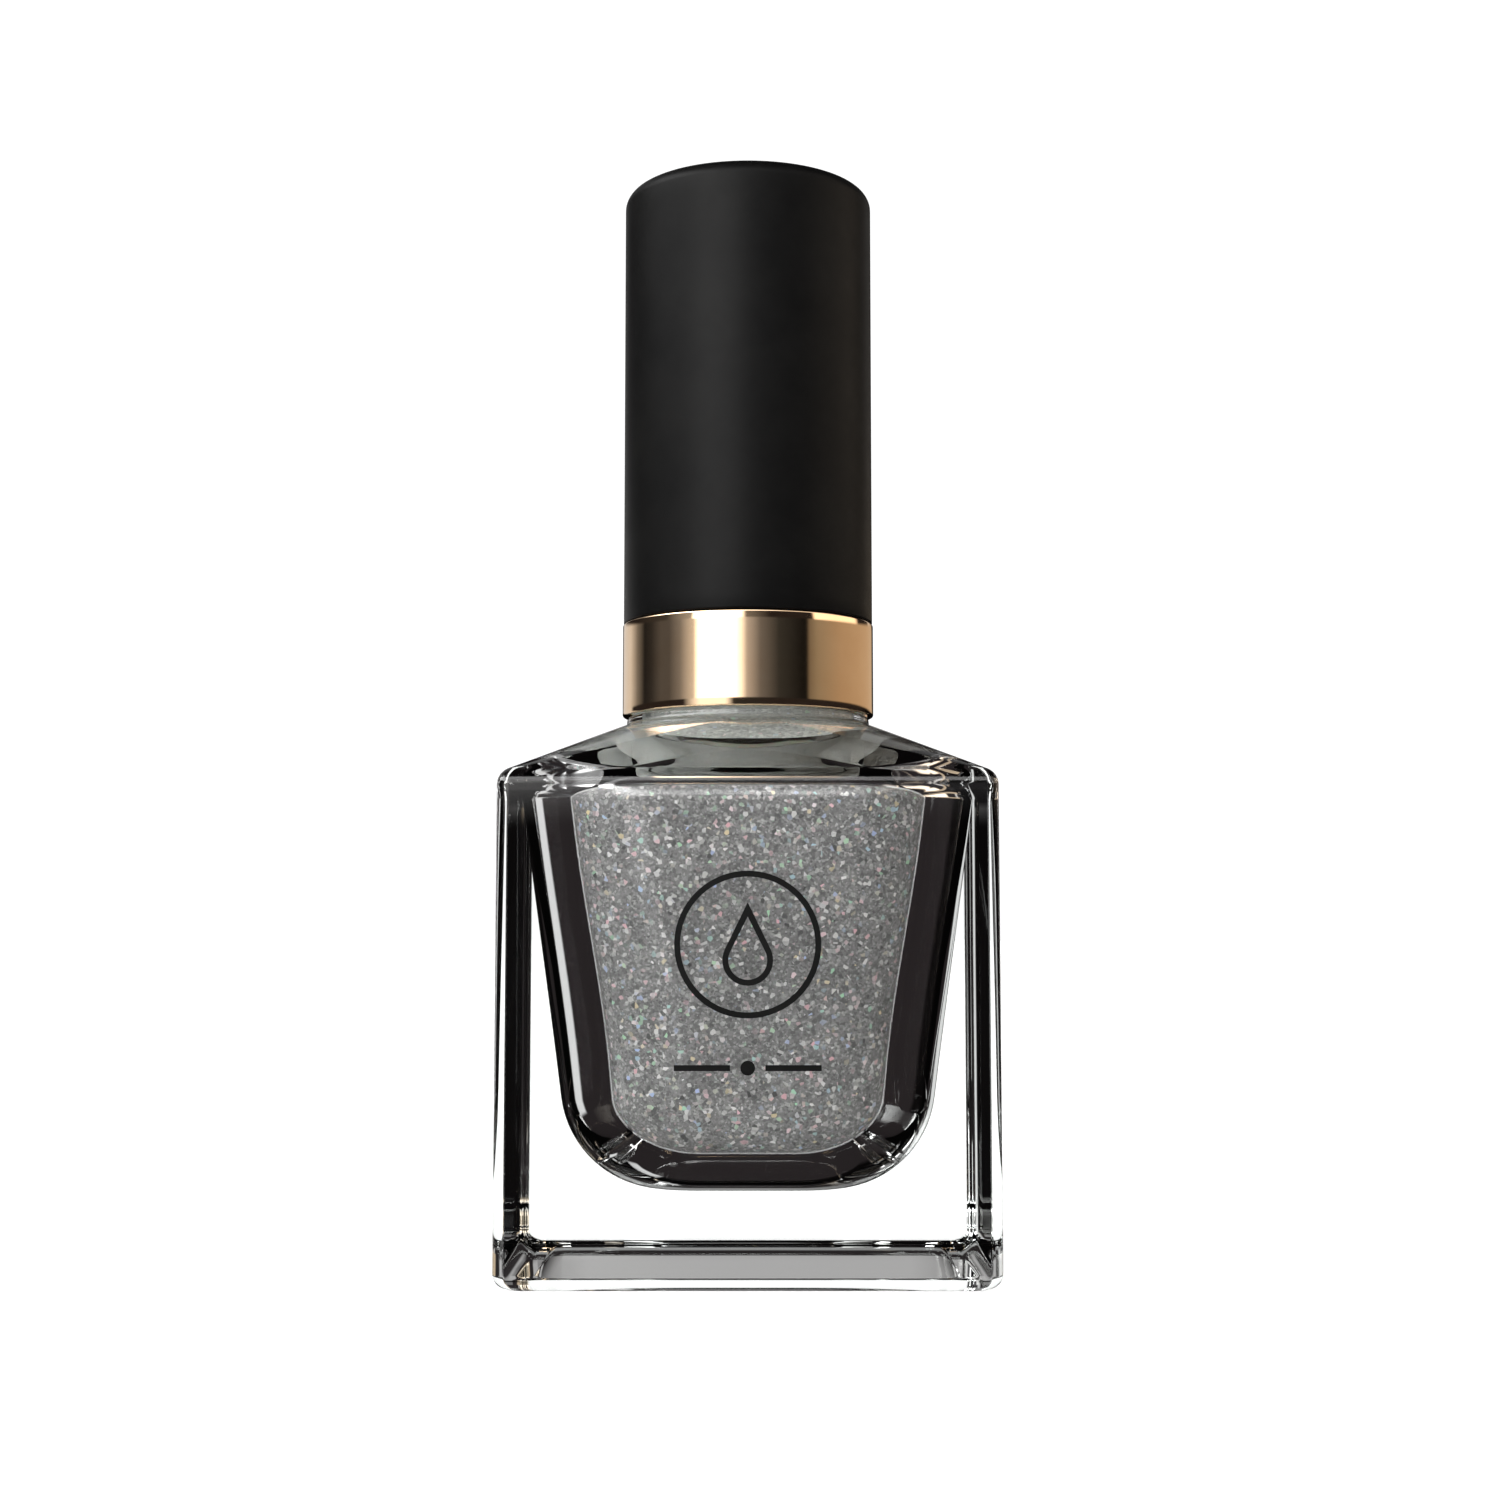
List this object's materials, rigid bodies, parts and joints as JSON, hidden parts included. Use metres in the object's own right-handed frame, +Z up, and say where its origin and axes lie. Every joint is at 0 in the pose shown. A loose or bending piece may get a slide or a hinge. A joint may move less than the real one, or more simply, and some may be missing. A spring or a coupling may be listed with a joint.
{
  "type": "nail polish bottle",
  "caption": "Square clear-glass nail polish bottle with glitter lacquer, a tall round black screw cap on a gold ring, and a brush on a stem inside.",
  "frame": {"origin": "centre of the bottle's flat foot, on the surface that it stands on", "axes": "+Z up along the neck and cap, -Y out of the front face with the printed emblem, +X to the right seen from the front"},
  "size_m": [0.029, 0.0291, 0.0682],
  "materials": {
    "clear_glass": "polished clear",
    "glitter_lacquer": "grey lacquer full of fine silver glitter",
    "ball_steel": "polished",
    "black_ink": "screen printed",
    "foam_liner": "soft foam",
    "gold_metallising": "polished rose gold",
    "black_plastic": "satin black",
    "ivory_plastic": "moulded polypropylene",
    "white_plastic": "moulded polyethylene",
    "anchor_metal": "flat wire",
    "nylon_bristle": "nylon filament"
  },
  "bodies": {
    "bottle": {"glass_bottle": "clear_glass", "lacquer_fill": "glitter_lacquer", "mixing_ball_left": "ball_steel", "mixing_ball_right": "ball_steel", "front_emblem": "black_ink"},
    "seal": {"seal_liner": "foam_liner"},
    "collar": {"collar_ring": "gold_metallising"},
    "cap": {"overcap": "black_plastic", "inner_cap": "ivory_plastic", "brush_stem": "white_plastic", "tuft_anchor": "anchor_metal", "bristle_tuft": "nylon_bristle"}
  },
  "joints": [
    {"name": "cap_lift", "type": "slide", "parent": "bottle", "child": "seal", "axis": [0, 0, 1], "range_m": [0, 0.05]},
    {"name": "thread_rise", "type": "slide", "parent": "seal", "child": "collar", "axis": [0, 0, 1], "range_m": [0, 0.0032]},
    {"name": "cap_turn", "type": "hinge", "parent": "collar", "child": "cap", "pos_m": [0, 0, 0.034], "axis": [0, 0, 1], "range_deg": [0, 540]}
  ],
  "couplings": [
    {"joint": "thread_rise", "follows": "cap_turn", "m_per_rad": 0.00033423}
  ]
}
